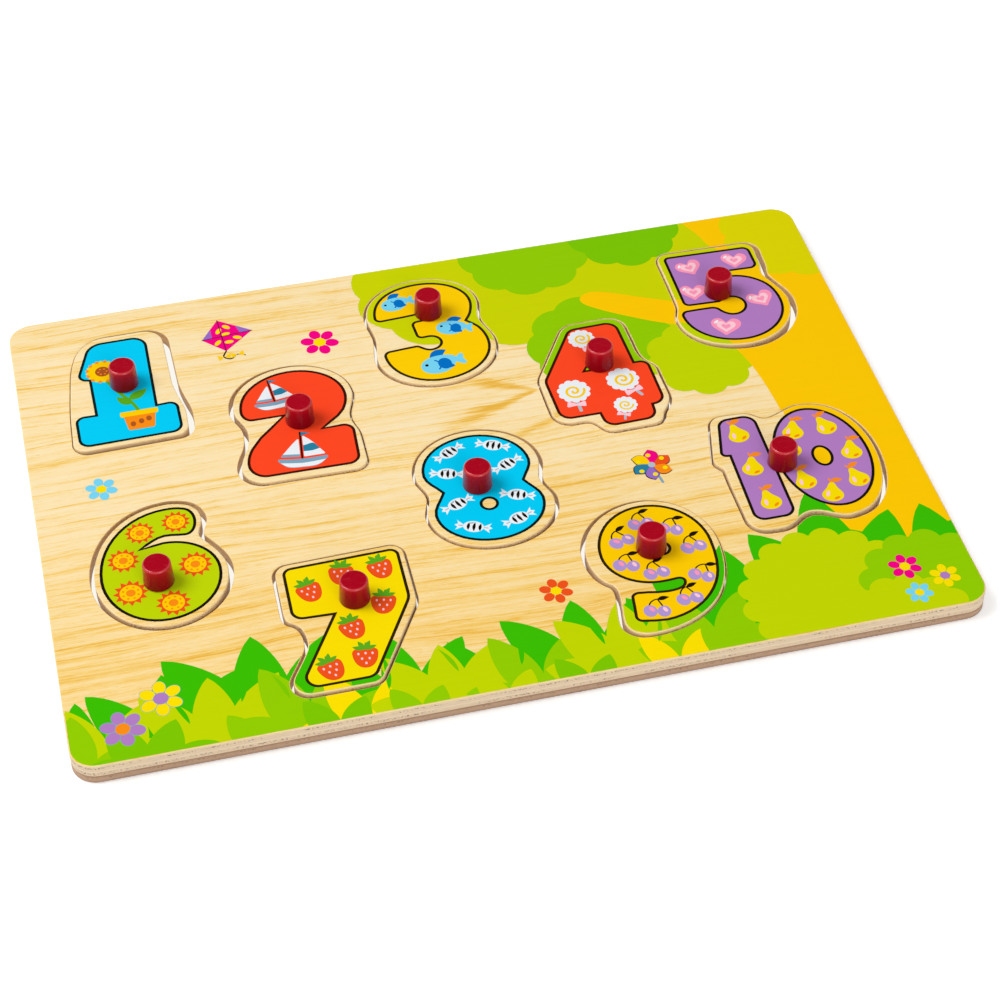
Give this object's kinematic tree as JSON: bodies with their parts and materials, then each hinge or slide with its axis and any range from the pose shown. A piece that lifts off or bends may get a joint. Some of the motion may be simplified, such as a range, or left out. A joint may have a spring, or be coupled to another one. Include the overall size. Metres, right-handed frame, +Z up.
{
  "type": "wooden number puzzle",
  "caption": "Glued wooden board with number-shaped cut-outs, each holding a flat wooden number piece that lifts out by its round peg.",
  "frame": {"origin": "centre of the board's underside, where it lies on a table", "axes": "+X along the board's long side, to the right of someone reading the numbers; +Y away from that reader; +Z up, the way the pieces lift out"},
  "size_m": [0.3, 0.214, 0.0182],
  "materials": {
    "backing_ply": "plain sanded plywood",
    "face_ply": "printed and lacquered pale plywood",
    "print_1": "printed and lacquered pale plywood",
    "print_2": "printed and lacquered pale plywood",
    "print_3": "printed and lacquered pale plywood",
    "print_4": "printed and lacquered pale plywood",
    "print_5": "printed and lacquered pale plywood",
    "print_6": "printed and lacquered pale plywood",
    "print_7": "printed and lacquered pale plywood",
    "print_8": "printed and lacquered pale plywood",
    "print_9": "printed and lacquered pale plywood",
    "print_10": "printed and lacquered pale plywood",
    "peg_crimson": "glossy crimson",
    "screw_steel": "zinc plated"
  },
  "bodies": {
    "board": {"backing_board": "backing_ply", "face_board": "face_ply"},
    "piece_1": {"number_1": "print_1", "peg_1": "peg_crimson", "screw_1": "screw_steel"},
    "piece_2": {"number_2": "print_2", "peg_2": "peg_crimson", "screw_2": "screw_steel"},
    "piece_3": {"number_3": "print_3", "peg_3": "peg_crimson", "screw_3": "screw_steel"},
    "piece_4": {"number_4": "print_4", "peg_4": "peg_crimson", "screw_4": "screw_steel"},
    "piece_5": {"number_5": "print_5", "peg_5": "peg_crimson", "screw_5": "screw_steel"},
    "piece_6": {"number_6": "print_6", "peg_6": "peg_crimson", "screw_6": "screw_steel"},
    "piece_7": {"number_7": "print_7", "peg_7": "peg_crimson", "screw_7": "screw_steel"},
    "piece_8": {"number_8": "print_8", "peg_8": "peg_crimson", "screw_8": "screw_steel"},
    "piece_9": {"number_9": "print_9", "peg_9": "peg_crimson", "screw_9": "screw_steel"},
    "piece_10": {"number_10": "print_10", "peg_10": "peg_crimson", "screw_10": "screw_steel"}
  },
  "joints": [
    {"name": "number_1_lift", "type": "slide", "parent": "board", "child": "piece_1", "axis": [0, 0, 1], "range_m": [0, 0.03]},
    {"name": "number_2_lift", "type": "slide", "parent": "board", "child": "piece_2", "axis": [0, 0, 1], "range_m": [0, 0.03]},
    {"name": "number_3_lift", "type": "slide", "parent": "board", "child": "piece_3", "axis": [0, 0, 1], "range_m": [0, 0.03]},
    {"name": "number_4_lift", "type": "slide", "parent": "board", "child": "piece_4", "axis": [0, 0, 1], "range_m": [0, 0.03]},
    {"name": "number_5_lift", "type": "slide", "parent": "board", "child": "piece_5", "axis": [0, 0, 1], "range_m": [0, 0.03]},
    {"name": "number_6_lift", "type": "slide", "parent": "board", "child": "piece_6", "axis": [0, 0, 1], "range_m": [0, 0.03]},
    {"name": "number_7_lift", "type": "slide", "parent": "board", "child": "piece_7", "axis": [0, 0, 1], "range_m": [0, 0.03]},
    {"name": "number_8_lift", "type": "slide", "parent": "board", "child": "piece_8", "axis": [0, 0, 1], "range_m": [0, 0.03]},
    {"name": "number_9_lift", "type": "slide", "parent": "board", "child": "piece_9", "axis": [0, 0, 1], "range_m": [0, 0.03]},
    {"name": "number_10_lift", "type": "slide", "parent": "board", "child": "piece_10", "axis": [0, 0, 1], "range_m": [0, 0.03]}
  ]
}
